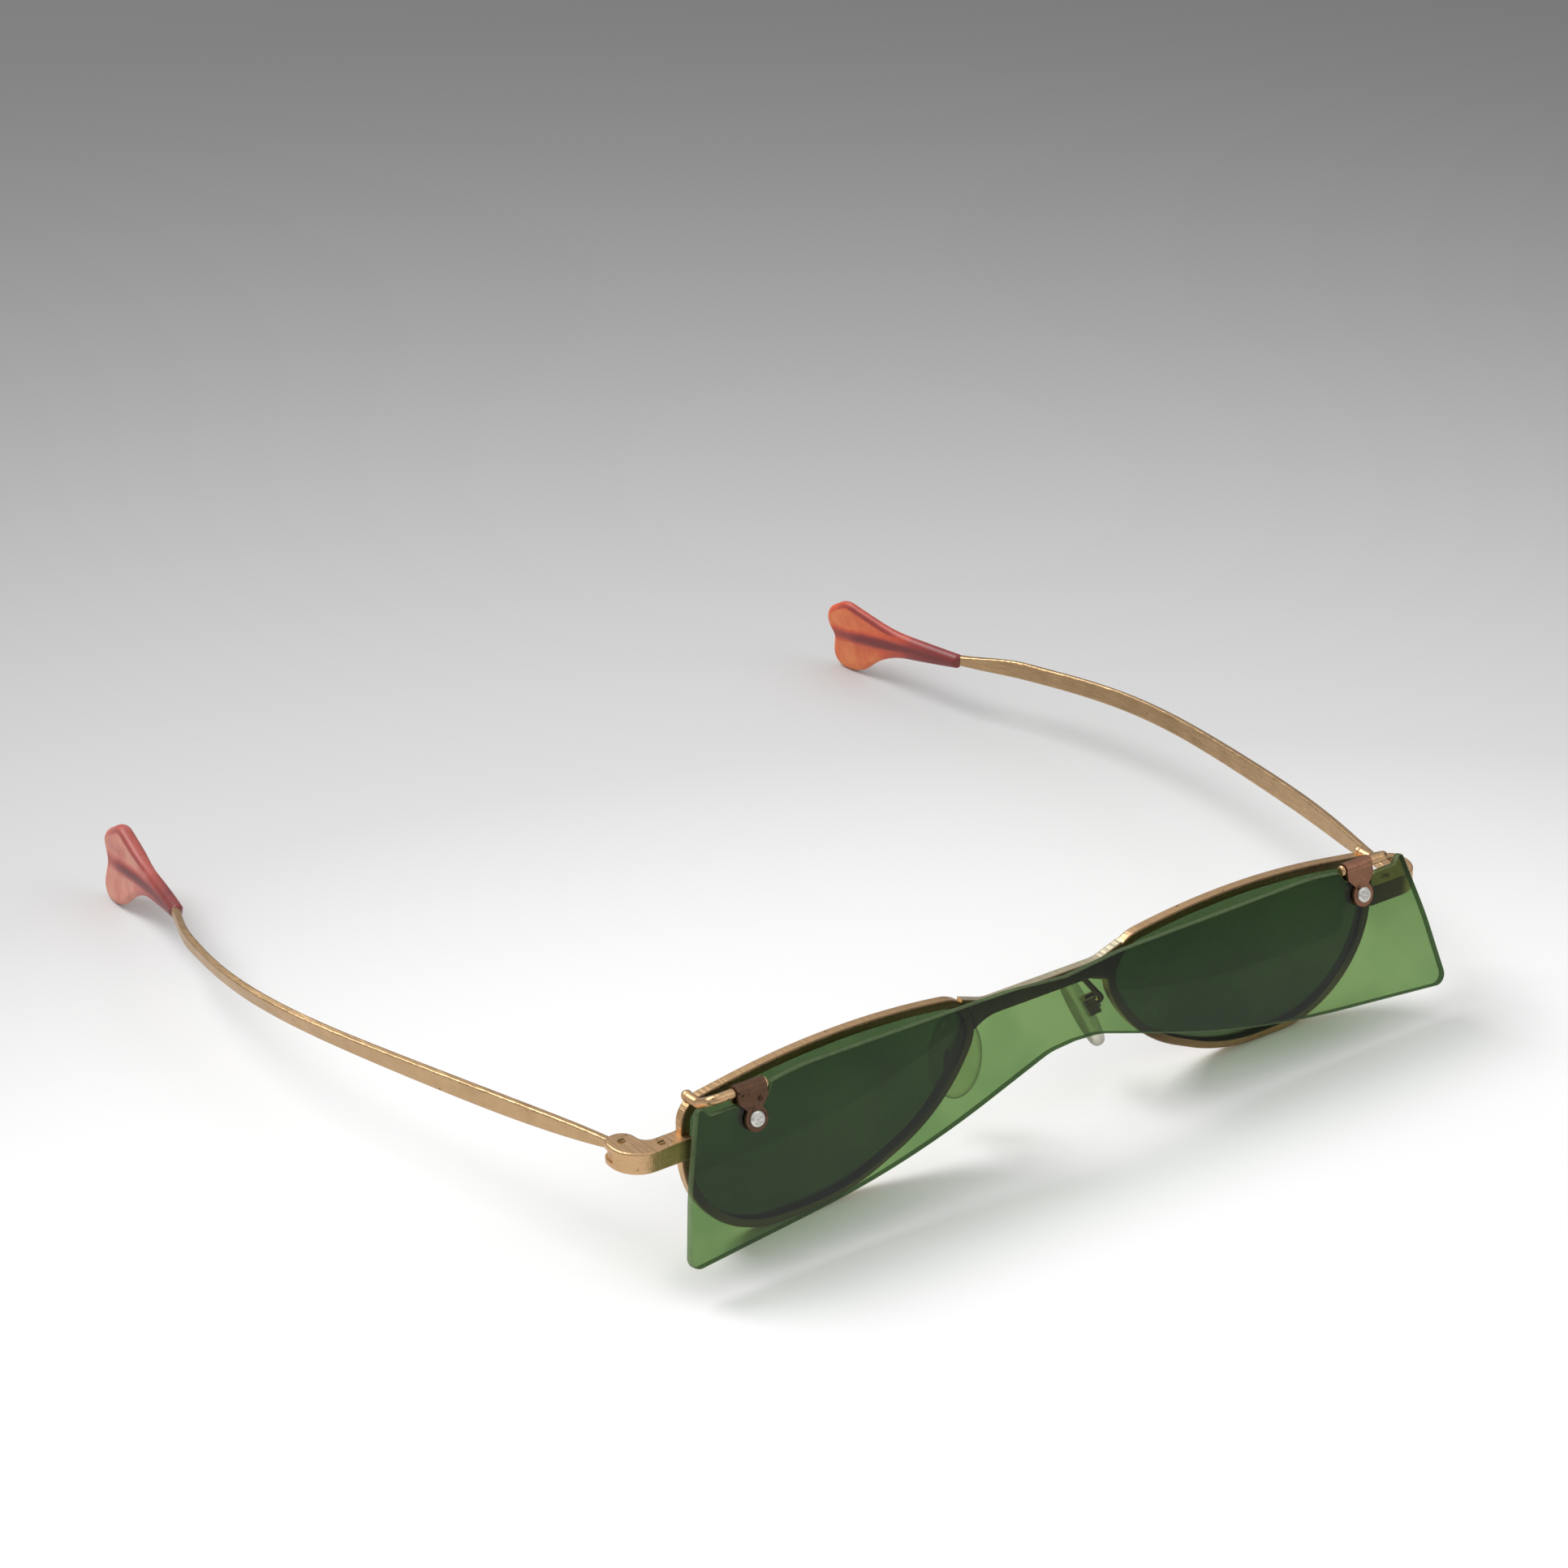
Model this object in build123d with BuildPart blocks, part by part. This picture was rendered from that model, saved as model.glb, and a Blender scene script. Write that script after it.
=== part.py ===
from build123d import *
from collections import namedtuple
from math import cos, radians, sin, tan
import os

# Flip-up sunglasses: a gold half-eye frame with tinted lenses, folding temples with
# paddle tips, rocking nose pads, and a tinted shield that flips up in front of it all.
#
# Millimetres, +Z up.  The glasses stand open on a table at z = 0 and look towards -Y.
# x = 0 is the mirror plane, and the origin is under the middle of the whole object.
# Left and right are the wearer's: left pieces lie at +x, right pieces at -x.
# Shapes are described for the left side and mirrored.

os.makedirs("parts", exist_ok=True)

Corner = namedtuple("Corner", "out up radius")
Station = namedtuple("Station", "back out drop height lean")

# ---- rims: corners of the half-eye outline before rounding ----
RIM_TEMPLE_SIDE = 57.0      # from the mirror plane
RIM_TOP = 22.0              # at the temple side
RIM_JAW_R = 15.4
RIM_TEMPLE_CORNER_R = 3.4
RIM_NOSE_CORNER = Corner(out=8.1, up=22.2, radius=5.8)
RIM_CROWN = Corner(out=32.8, up=25.7, radius=113.0)
RIM_BELLY = Corner(out=31.5, up=0.0, radius=29.0)
RIM_CHEEK = Corner(out=15.5, up=7.3, radius=23.5)
RIM_WIRE = 1.2              # seen from the front
RIM_DEPTH = 1.6             # front to back
RIM_EDGE_R = 0.35
GROOVE_DEPTH = 0.4          # for the lens bevel
RIM_SPLIT = 0.15            # saw cut that the closing screw draws together

# ---- lenses ----
LENS_THICKNESS = 1.5
LENS_CURVE_R = 300.0
LENS_PROUD = 0.45           # middle of the lens before the rim
LENS_PLAY = 0.03

# ---- bridge ----
BRIDGE_TOP = 21.2
BRIDGE_HEIGHT = 2.4
BRIDGE_DEPTH = 1.5
BRIDGE_PROUD = 0.1          # before the rims
BRIDGE_BEND = 9.2           # from the mirror plane to where the ends begin to spread
BRIDGE_SPREAD_LENGTH = 4.0
BRIDGE_SPREAD_UP = 1.4
BRIDGE_SPREAD_DOWN = 2.8
BRIDGE_BEND_R = 6.0
BRIDGE_EDGE_R = 0.35

# ---- endpieces and temple hinges ----
END_MIDDLE = 16.25          # height of the seam between the two halves
END_HEIGHT = 3.0
END_FRONT_STAND = 1.15      # strap's front face before the rim's
END_BACK_STAND = 0.2        # strap's back face behind the rim's
END_FRONT_R = 4.0
END_HOLLOW_R = 1.5
END_EDGE_R = 0.3
END_LAP = 1.1               # strap over the rim's front
HINGE_OUT = 6.6             # axis beyond the rim
HINGE_BACK = 2.75           # axis behind the rims' middle plane
HINGE_BOSS_R = 2.05
HINGE_SCREW_R = 0.5
HINGE_SCREW_PLAY = 0.05
TONGUE_THICKNESS = 1.3
TONGUE_R = 1.75
TONGUE_PLAY = 0.06          # above and below the tongue
KNUCKLE_PLAY = 0.5          # round the tongue
CLOSING_SCREW_R = 0.5
CLOSING_SCREW_OUT = 2.9     # beyond the rim
SCREW_STAND = 0.12
SCREW_SLOT = 0.22
SCREW_SLOT_DEPTH = 0.25

# ---- temples: stations measured from the hinge axis ----
TEMPLE_THICKNESS = 0.95
TEMPLE_EDGE_R = 0.25
TEMPLE_ROOT = Station(back=2.6, out=0.05, drop=0.0, height=1.3, lean=0.0)
TEMPLE_SHOULDER = Station(back=6.3, out=0.9, drop=0.3, height=1.9, lean=2.0)
TEMPLE_FLARE = Station(back=15.3, out=3.2, drop=0.8, height=2.6, lean=4.0)
TEMPLE_SIDE = Station(back=31.3, out=6.65, drop=1.75, height=2.75, lean=8.0)
TEMPLE_MIDDLE = Station(back=51.3, out=10.05, drop=3.15, height=2.5, lean=14.0)
TEMPLE_BOW = Station(back=71.3, out=11.15, drop=4.7, height=2.5, lean=18.0)
TEMPLE_RETURN = Station(back=87.3, out=8.85, drop=6.15, height=2.45, lean=12.0)
TEMPLE_WRIST = Station(back=96.3, out=5.9, drop=7.05, height=1.9, lean=2.0)
TEMPLE_MOUTH = Station(back=101.0, out=4.15, drop=7.45, height=1.35, lean=-7.5)
CORE_NECK = Station(back=107.3, out=2.65, drop=7.95, height=1.05, lean=-7.5)
CORE_MIDDLE = Station(back=113.3, out=1.65, drop=8.75, height=0.95, lean=-7.5)
CORE_TAPER = Station(back=118.0, out=0.98, drop=9.45, height=0.85, lean=-7.5)
CORE_END = Station(back=122.5, out=0.5, drop=10.1, height=0.75, lean=-7.5)

# ---- tips: corners of the paddle before rounding, back from the hinge and up ----
TIP_MOUTH_TOP = Corner(out=99.1, up=10.0, radius=0.6)
TIP_SADDLE = Corner(out=111.8, up=10.0, radius=23.5)
TIP_CREST = Corner(out=121.5, up=12.2, radius=3.3)
TIP_SHOULDER = Corner(out=127.6, up=8.5, radius=2.9)
TIP_NOTCH = Corner(out=124.75, up=5.45, radius=0.9)
TIP_HEEL = Corner(out=125.9, up=0.0, radius=2.4)
TIP_TOE = Corner(out=120.0, up=0.0, radius=7.5)
TIP_THROAT = Corner(out=113.65, up=5.4, radius=16.0)
TIP_MOUTH_BOTTOM = Corner(out=99.5, up=7.7, radius=0.6)
TIP_THICKNESS = 2.0
TIP_EDGE_R = 0.5
TIP_LEAN = 7.5              # top inwards, degrees
TIP_LEVEL = 5.0             # height at which the paddle's three distances out are given
TIP_OUT_FRONT = 5.65
TIP_OUT_MIDDLE = 2.2
TIP_OUT_REAR = 0.05

# ---- shield: corners before rounding, out from the mirror plane and up from the pin ----
PIN_AHEAD = 4.85            # hinge pin before the rims' middle plane
PIN_ABOVE = 2.0             # hinge pin above the rims' top at the temple side
PIN_R = 0.5
PIN_PLAY = 0.05
SHIELD_TILT = 15.0          # foot forward of the pin, degrees
SHIELD_THICKNESS = 1.0
SHIELD_EDGE_R = 0.25
SHIELD_TOP_MIDDLE = Corner(out=0.0, up=-0.45, radius=0.0)
SHIELD_TOP_DIP = Corner(out=9.0, up=0.35, radius=30.0)
SHIELD_TOP_RISE = Corner(out=42.0, up=0.65, radius=45.0)
SHIELD_TOP_END = Corner(out=46.6, up=0.05, radius=0.5)
SHIELD_EAR = Corner(out=57.7, up=0.2, radius=0.6)
SHIELD_SIDE = Corner(out=60.6, up=-9.6, radius=60.0)
SHIELD_FOOT = Corner(out=62.8, up=-20.1, radius=1.5)
SHIELD_BELLY = Corner(out=29.0, up=-16.9, radius=150.0)
SHIELD_ARCH = Corner(out=4.1, up=-9.4, radius=10.4)
SHIELD_ARCH_TOP = Corner(out=0.0, up=-9.15, radius=0.0)
NOTCH_DEPTH = 1.5           # below the pin, where the knuckle turns

# ---- clips and rivets ----
CLIP_MIDDLE = 49.9          # from the mirror plane
CLIP_WIDTH = 4.4
CLIP_NECK = 2.3
CLIP_LEAF = 0.42
CLIP_SHOULDER = 1.4         # below the pin, where the leaf starts to narrow
CLIP_WAIST = 2.5            # below the pin, where it is narrowest
CLIP_LOBE_R = 1.65
RIVET_DROP = 3.85
RIVET_R = 0.55
RIVET_HEAD_R = 1.1
RIVET_HEAD = 0.4
RIVET_TAIL_R = 0.85
RIVET_TAIL = 0.3

# ---- hooks that carry the shield ----
HOOK_WIRE_R = 0.65
HOOK_BEND_R = 1.1
HOOK_BEAD_R = 0.75
HOOK_INSET = 1.6            # from the rim's temple side
HOOK_SINK = 0.25            # wire's underside into the rim's top corner
HOOK_TAIL = 0.35            # behind the rims' middle plane
HOOK_NOSE = 2.1             # level stretch before the rims' middle plane
HOOK_SIDE_PLAY = 0.15       # on both sides of the knuckle
PIN_HEAD_R = 0.75
PIN_HEAD = 0.4

# ---- nose pads, their boxes and arms ----
PAD_OUT = 10.45             # middle of a pad from the mirror plane
PAD_BACK = 3.9              # middle of a pad behind the rims' middle plane
PAD_UP = 11.5
PAD_LENGTH = 11.6
PAD_WIDTH = 7.0
PAD_THICKNESS = 1.8
PAD_EDGE_R = 0.8
PAD_SPLAY = 36.0            # rear edge outwards, degrees
PAD_LEAN_LEFT = 28.0        # lower end outwards, degrees
PAD_LEAN_RIGHT = 13.0
BOX_LENGTH = 2.4            # up the pad
BOX_CHEEK = 0.4
BOX_FLOOR = 0.3
BOX_HEIGHT = 1.5
BOX_PIN_HEIGHT = 1.0        # above the pad's back
ARM_WIRE_R = 0.4
ARM_PLAY = 0.05
ARM_SIDE_PLAY = 0.1
ARM_BEND_R = 0.55
ARM_LEG = 1.3
ARM_ELBOW_UP = 5.2          # from the pad's middle, up the pad
ARM_ELBOW_OFF = 2.4         # from the pad's middle, away from the nose
ARM_ELBOW_AHEAD = 1.3
ARM_ROOT_UP = 17.4
ARM_ROOT_OUT = 12.1

# ---- sizes worked out from the ones above ----
rim_face = RIM_DEPTH / 2
sheet_half = SHIELD_THICKNESS / 2
slot_half = TONGUE_THICKNESS / 2 + TONGUE_PLAY
pin_bore_r = PIN_R + PIN_PLAY
knuckle_r = pin_bore_r + CLIP_LEAF
leaf_face = sheet_half + CLIP_LEAF
clip_inner = CLIP_MIDDLE - CLIP_WIDTH / 2
clip_outer = CLIP_MIDDLE + CLIP_WIDTH / 2
hook_x = RIM_TEMPLE_SIDE - HOOK_INSET

rim_corners = (
    RIM_NOSE_CORNER,
    RIM_CROWN,
    Corner(RIM_TEMPLE_SIDE, RIM_TOP, RIM_TEMPLE_CORNER_R),
    Corner(RIM_TEMPLE_SIDE, RIM_BELLY.up, RIM_JAW_R),
    RIM_BELLY,
    RIM_CHEEK,
)
tip_corners = (
    TIP_MOUTH_TOP,
    TIP_SADDLE,
    TIP_CREST,
    TIP_SHOULDER,
    TIP_NOTCH,
    TIP_HEEL,
    TIP_TOE,
    TIP_THROAT,
    TIP_MOUTH_BOTTOM,
)
half_shield_corners = (
    SHIELD_TOP_MIDDLE,
    SHIELD_TOP_DIP,
    SHIELD_TOP_RISE,
    SHIELD_TOP_END,
    Corner(clip_inner - HOOK_SIDE_PLAY, -NOTCH_DEPTH, SHIELD_TOP_END.radius),
    Corner(hook_x + HOOK_WIRE_R + HOOK_SIDE_PLAY, -NOTCH_DEPTH, SHIELD_EAR.radius),
    SHIELD_EAR,
    SHIELD_SIDE,
    SHIELD_FOOT,
    SHIELD_BELLY,
    SHIELD_ARCH,
    SHIELD_ARCH_TOP,
)


def outline_of(corners):
    """Closed outline through corners, each rounded by its own radius."""
    with BuildSketch() as outline:
        with BuildLine():
            FilletPolyline(
                [(corner.out, corner.up) for corner in corners],
                radius=[corner.radius for corner in corners],
                close=True,
            )
        make_face()
    return outline.sketch


def shield_outline():
    """The sheet's outline, up from the pin, mirrored about its middle."""
    with BuildSketch() as outline:
        with BuildLine():
            FilletPolyline(
                [(corner.out, corner.up) for corner in half_shield_corners],
                radius=[corner.radius for corner in half_shield_corners[1:-1]],
            )
            mirror(about=Plane.YZ)
        make_face()
    return outline.sketch


# ---- places, with the origin under the middle of the whole object ----
tilt = radians(SHIELD_TILT)
sheet_reach = -shield_outline().bounding_box().min.Y - SHIELD_EDGE_R
edge_reach = (sheet_half - SHIELD_EDGE_R) * cos(tilt) + SHIELD_EDGE_R
front_reach = PIN_AHEAD + sheet_reach * sin(tilt) + edge_reach
rear_reach = HINGE_BACK + outline_of(tip_corners).bounding_box().max.X
rims_y = (front_reach - rear_reach) / 2
lens_out = (RIM_NOSE_CORNER.out + RIM_TEMPLE_SIDE) / 2
lens_up = RIM_TOP / 2
lens_centre_y = rims_y - rim_face - LENS_PROUD + LENS_CURVE_R

hinge_x = RIM_TEMPLE_SIDE + HINGE_OUT
hinge_y = rims_y + HINGE_BACK
end_top = END_MIDDLE + END_HEIGHT / 2
end_bottom = END_MIDDLE - END_HEIGHT / 2
end_front = -rim_face - END_FRONT_STAND
end_back = rim_face + END_BACK_STAND
closing_x = RIM_TEMPLE_SIDE + CLOSING_SCREW_OUT
closing_y = rims_y + (end_front + end_back) / 2

pin_y = rims_y - PIN_AHEAD
pin_z = RIM_TOP + PIN_ABOVE

rim_plane = Plane(origin=(0, rims_y, 0), x_dir=(1, 0, 0), z_dir=(0, -1, 0))
sheet_plane = Plane(origin=(0, pin_y, pin_z), x_dir=(1, 0, 0), z_dir=(0, -cos(tilt), sin(tilt)))
clip_face = Plane(origin=(CLIP_MIDDLE, pin_y, pin_z), x_dir=(1, 0, 0), z_dir=sheet_plane.z_dir)
clip_end = Plane(origin=(clip_inner, pin_y, pin_z), x_dir=-sheet_plane.z_dir, z_dir=(1, 0, 0))


def rim_outline(inset):
    """The half-eye outline, drawn in all round by inset."""
    with BuildSketch() as outline:
        add(outline_of(rim_corners))
        if inset:
            offset(amount=-inset, mode=Mode.REPLACE)
    return outline.sketch


def rim_plate(inset, depth):
    """A flat plate of the half-eye outline about the rims' middle plane."""
    with BuildPart() as plate:
        with BuildSketch(rim_plane):
            add(rim_outline(inset))
        extrude(amount=depth / 2, both=True)
    return plate.part


def rim_bevel(inset):
    """A plate with a V edge, widest in the rims' middle plane."""
    with BuildPart() as plate:
        with BuildSketch(rim_plane):
            add(rim_outline(inset))
        extrude(amount=GROOVE_DEPTH, taper=45)
        with BuildSketch(rim_plane):
            add(rim_outline(inset))
        extrude(amount=-GROOVE_DEPTH, taper=45)
    return plate.part


def make_rim():
    """Wire rim with a V groove inside and a saw cut between the endpiece halves."""
    with BuildPart() as rim:
        add(rim_plate(0, RIM_DEPTH))
        fillet(rim.faces().filter_by(Axis.Y).edges(), radius=RIM_EDGE_R)
        add(rim_plate(RIM_WIRE, 2 * RIM_DEPTH), mode=Mode.SUBTRACT)
        add(rim_bevel(RIM_WIRE - GROOVE_DEPTH), mode=Mode.SUBTRACT)
        with Locations((RIM_TEMPLE_SIDE, rims_y, END_MIDDLE)):
            Box(3 * RIM_WIRE, 2 * RIM_DEPTH, RIM_SPLIT, mode=Mode.SUBTRACT)
    return rim


def make_lens():
    """Even shell of a large sphere, with the bevel that sits in the rim's groove."""
    with BuildPart() as bevel:
        add(rim_bevel(RIM_WIRE - GROOVE_DEPTH + LENS_PLAY))
        add(rim_plate(RIM_WIRE + LENS_PLAY, 2 * RIM_DEPTH), mode=Mode.SUBTRACT)
    with BuildPart() as lens:
        add(rim_plate(RIM_WIRE + LENS_PLAY, LENS_CURVE_R / 10))
        with Locations((lens_out, lens_centre_y, lens_up)):
            Sphere(LENS_CURVE_R, mode=Mode.INTERSECT)
            Sphere(LENS_CURVE_R - LENS_THICKNESS, mode=Mode.SUBTRACT)
        add(bevel.part)
    return lens


def make_bridge():
    """Flat band between the rims, its ends spread and shaped to the rims."""
    bottom = BRIDGE_TOP - BRIDGE_HEIGHT
    end = BRIDGE_BEND + BRIDGE_SPREAD_LENGTH
    corners = (
        Corner(-end, BRIDGE_TOP + BRIDGE_SPREAD_UP, 0),
        Corner(-BRIDGE_BEND, BRIDGE_TOP, BRIDGE_BEND_R),
        Corner(BRIDGE_BEND, BRIDGE_TOP, BRIDGE_BEND_R),
        Corner(end, BRIDGE_TOP + BRIDGE_SPREAD_UP, 0),
        Corner(end, bottom - BRIDGE_SPREAD_DOWN, 0),
        Corner(BRIDGE_BEND, bottom, BRIDGE_BEND_R),
        Corner(-BRIDGE_BEND, bottom, BRIDGE_BEND_R),
        Corner(-end, bottom - BRIDGE_SPREAD_DOWN, 0),
    )
    with BuildPart() as bridge:
        with BuildSketch(rim_plane.offset(rim_face + BRIDGE_PROUD)):
            add(outline_of(corners))
        extrude(amount=-BRIDGE_DEPTH)
        fillet(bridge.faces().filter_by(Axis.Y).edges(), radius=BRIDGE_EDGE_R)
        add(rim_plate(0, 3 * RIM_DEPTH), mode=Mode.SUBTRACT)
        mirror(rim_plate(0, 3 * RIM_DEPTH), about=Plane.YZ, mode=Mode.SUBTRACT)
    return bridge


def make_endpiece(inner, outer):
    """Half of the endpiece, from the seam to its outer face: a strap from the rim's
    front round to the hinge boss."""
    start = RIM_TEMPLE_SIDE - END_LAP
    with BuildPart() as endpiece:
        with BuildSketch(Plane.XY.offset(inner)):
            with BuildLine():
                strap = FilletPolyline(
                    (start, rims_y + end_back),
                    (hinge_x - HINGE_BOSS_R, rims_y + end_back),
                    (hinge_x - HINGE_BOSS_R, hinge_y + HINGE_BOSS_R),
                    (hinge_x + HINGE_BOSS_R, hinge_y + HINGE_BOSS_R),
                    (hinge_x + HINGE_BOSS_R, rims_y + end_front),
                    (start, rims_y + end_front),
                    radius=[END_HOLLOW_R, HINGE_BOSS_R, HINGE_BOSS_R, END_FRONT_R],
                )
                Line(strap @ 1, strap @ 0)
            make_face()
        extrude(amount=outer - inner)
        outer_face = endpiece.faces().filter_by(Axis.Z).filter_by_position(Axis.Z, outer, outer)
        fillet(outer_face.edges(), radius=END_EDGE_R)
        add(rim_plate(0, RIM_DEPTH), mode=Mode.SUBTRACT)
        add(rim_plate(RIM_WIRE, 4 * RIM_DEPTH), mode=Mode.SUBTRACT)
        with Locations((hinge_x, hinge_y, END_MIDDLE)):
            Cylinder(TONGUE_R + KNUCKLE_PLAY, 2 * slot_half, mode=Mode.SUBTRACT)
            Cylinder(HINGE_SCREW_R, 2 * END_HEIGHT, mode=Mode.SUBTRACT)
        with Locations((closing_x, closing_y, END_MIDDLE)):
            Cylinder(CLOSING_SCREW_R, 2 * END_HEIGHT, mode=Mode.SUBTRACT)
    return endpiece


def make_screw(x, y, radius):
    """Slotted screw down through both endpiece halves."""
    top = end_top + SCREW_STAND
    with BuildPart() as screw:
        with BuildSketch(Plane.XY.offset(end_bottom)):
            with Locations((x, y)):
                Circle(radius)
        extrude(amount=top - end_bottom)
        with Locations((x, y, top)):
            Box(3 * radius, SCREW_SLOT, 2 * SCREW_SLOT_DEPTH, mode=Mode.SUBTRACT)
    return screw


def make_temple():
    """Flat band lofted from the hinge tongue, bowed outwards, into a core for the tip."""
    stations = (
        TEMPLE_ROOT, TEMPLE_SHOULDER, TEMPLE_FLARE, TEMPLE_SIDE, TEMPLE_MIDDLE, TEMPLE_BOW,
        TEMPLE_RETURN, TEMPLE_WRIST, TEMPLE_MOUTH, CORE_NECK, CORE_MIDDLE, CORE_TAPER, CORE_END,
    )
    points = [Vector(hinge_x + s.out, hinge_y + s.back, END_MIDDLE - s.drop) for s in stations]
    with BuildLine() as path:
        Spline(points)
    curve = path.edges()[0]
    with BuildPart() as temple:
        for station, point in zip(stations, points):
            forward = curve.tangent_at(curve.param_at_point(point))
            across = forward.cross(Vector(0, 0, 1)).normalized()
            leaned = across.rotate(Axis((0, 0, 0), forward), station.lean)
            with BuildSketch(Plane(origin=point, x_dir=leaned, z_dir=forward)):
                RectangleRounded(TEMPLE_THICKNESS, station.height, TEMPLE_EDGE_R)
        loft()
        with Locations((hinge_x, hinge_y + TEMPLE_ROOT.back / 2, END_MIDDLE)):
            Box(TEMPLE_THICKNESS, TEMPLE_ROOT.back + TEMPLE_EDGE_R, TONGUE_THICKNESS)
        with Locations((hinge_x, hinge_y, END_MIDDLE)):
            Cylinder(TONGUE_R, TONGUE_THICKNESS)
            Cylinder(HINGE_SCREW_R + HINGE_SCREW_PLAY, 2 * TONGUE_THICKNESS, mode=Mode.SUBTRACT)
    return temple


def make_tip(temple):
    """Two-lobed paddle cut from a leaning, gently curved slab, bored for the core."""
    below = TIP_THICKNESS
    lean = radians(TIP_LEAN)
    base_x = hinge_x + (TIP_LEVEL + below) * tan(lean)
    rear_end = rims_y + rear_reach + TIP_THICKNESS
    with BuildPart() as tip:
        with BuildSketch(Plane.XY.offset(-below)):
            with BuildLine():
                ThreePointArc(
                    (base_x + TIP_OUT_FRONT, hinge_y + TEMPLE_WRIST.back),
                    (base_x + TIP_OUT_MIDDLE, hinge_y + TIP_SADDLE.out),
                    (base_x + TIP_OUT_REAR, rear_end),
                )
            trace(line_width=TIP_THICKNESS)
        extrude(amount=2 * TIP_CREST.up, dir=(-sin(lean), 0, cos(lean)))
        with BuildSketch(Plane(origin=(hinge_x, hinge_y, 0), x_dir=(0, 1, 0), z_dir=(1, 0, 0))):
            add(outline_of(tip_corners))
        extrude(amount=hinge_x, both=True, mode=Mode.INTERSECT)
        fillet(tip.faces().sort_by(SortBy.AREA)[-2:].edges(), radius=TIP_EDGE_R)
        add(temple, mode=Mode.SUBTRACT)
    return tip


def make_shield():
    """One sheet over both lenses, notched for the knuckles and arched for the nose."""
    with BuildPart() as shield:
        with BuildSketch(sheet_plane):
            add(shield_outline())
        extrude(amount=sheet_half, both=True)
        fillet(shield.faces().sort_by(SortBy.AREA)[-2:].edges(), radius=SHIELD_EDGE_R)
        with BuildSketch(sheet_plane):
            with Locations((-CLIP_MIDDLE, -RIVET_DROP), (CLIP_MIDDLE, -RIVET_DROP)):
                Circle(RIVET_R)
        extrude(amount=SHIELD_THICKNESS, both=True, mode=Mode.SUBTRACT)
    return shield


def make_clip():
    """Leaf folded over the pin and down both faces of the sheet, with a round lobe."""
    fold = RIVET_DROP + 2 * CLIP_LOBE_R
    with BuildPart() as clip:
        with BuildSketch(clip_end):
            Circle(knuckle_r)
            Rectangle(2 * leaf_face, fold, align=(Align.CENTER, Align.MAX))
            Circle(pin_bore_r, mode=Mode.SUBTRACT)
            Rectangle(SHIELD_THICKNESS, fold, align=(Align.CENTER, Align.MAX), mode=Mode.SUBTRACT)
        extrude(amount=CLIP_WIDTH)
        with BuildSketch(clip_face):
            with BuildLine():
                Polyline(
                    (0, knuckle_r),
                    (CLIP_WIDTH / 2, knuckle_r),
                    (CLIP_WIDTH / 2, -CLIP_SHOULDER),
                    (CLIP_NECK / 2, -CLIP_WAIST),
                    (CLIP_NECK / 2, -RIVET_DROP),
                    (0, -RIVET_DROP),
                )
                mirror(about=Plane.YZ)
            make_face()
            with Locations((0, -RIVET_DROP)):
                Circle(CLIP_LOBE_R)
                Circle(RIVET_R, mode=Mode.SUBTRACT)
        extrude(amount=2 * leaf_face, both=True, mode=Mode.INTERSECT)
    return clip


def make_rivet():
    """Rivet through both leaves and the sheet, with a domed head in front."""
    with BuildPart() as rivet:
        with BuildSketch(clip_face.offset(-leaf_face)):
            with Locations((0, -RIVET_DROP)):
                Circle(RIVET_R)
        extrude(amount=2 * leaf_face)
        with BuildSketch(clip_face.offset(leaf_face)):
            with Locations((0, -RIVET_DROP)):
                Circle(RIVET_HEAD_R)
        extrude(amount=RIVET_HEAD)
        with BuildSketch(clip_face.offset(-leaf_face)):
            with Locations((0, -RIVET_DROP)):
                Circle(RIVET_TAIL_R)
        extrude(amount=-RIVET_TAIL)
        rims = rivet.edges().filter_by(GeomType.CIRCLE)
        rims = rims.sort_by(Axis(sheet_plane.origin, sheet_plane.z_dir))
        fillet(rims[-1], radius=0.9 * RIVET_HEAD)
        fillet(rims[0], radius=0.9 * RIVET_TAIL)
    return rivet


def rim_height_at(x):
    """Height of the rim's outer edge at one distance from the mirror plane."""
    with BuildPart() as slice_of_rim:
        add(rim_plate(0, RIM_DEPTH))
        with Locations((x, rims_y, RIM_TOP)):
            Box(RIM_SPLIT, RIM_DEPTH, 4 * RIM_TOP, mode=Mode.INTERSECT)
    return slice_of_rim.part.bounding_box().max.Z


def make_hook():
    """Wire from a bead on the rim's corner forwards and inwards, ending in the pin."""
    foot_z = rim_height_at(hook_x) + HOOK_WIRE_R - HOOK_SINK
    pin_start = clip_outer + HOOK_SIDE_PLAY
    pin_end = clip_inner - HOOK_SIDE_PLAY
    with BuildPart() as hook:
        with BuildLine() as path:
            FilletPolyline(
                (hook_x, rims_y + HOOK_TAIL, foot_z),
                (hook_x, rims_y - HOOK_NOSE, foot_z),
                (hook_x, pin_y, pin_z),
                (pin_start, pin_y, pin_z),
                radius=[HOOK_BEND_R, HOOK_BEND_R],
            )
        with BuildSketch(Plane(origin=path.line @ 0, z_dir=path.line % 0)):
            Circle(HOOK_WIRE_R)
        sweep()
        with Locations(path.line @ 0):
            Sphere(HOOK_BEAD_R)
        with BuildSketch(Plane(origin=(pin_start, pin_y, pin_z), z_dir=(-1, 0, 0))):
            Circle(PIN_R)
        extrude(amount=pin_start - pin_end)
        with BuildSketch(Plane(origin=(pin_end, pin_y, pin_z), z_dir=(-1, 0, 0))):
            Circle(PIN_HEAD_R)
        extrude(amount=PIN_HEAD)
        fillet(hook.edges().filter_by(GeomType.CIRCLE).sort_by(Axis.X)[0], radius=0.9 * PIN_HEAD)
        add(rim_plate(0, RIM_DEPTH), mode=Mode.SUBTRACT)
    return hook


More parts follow.
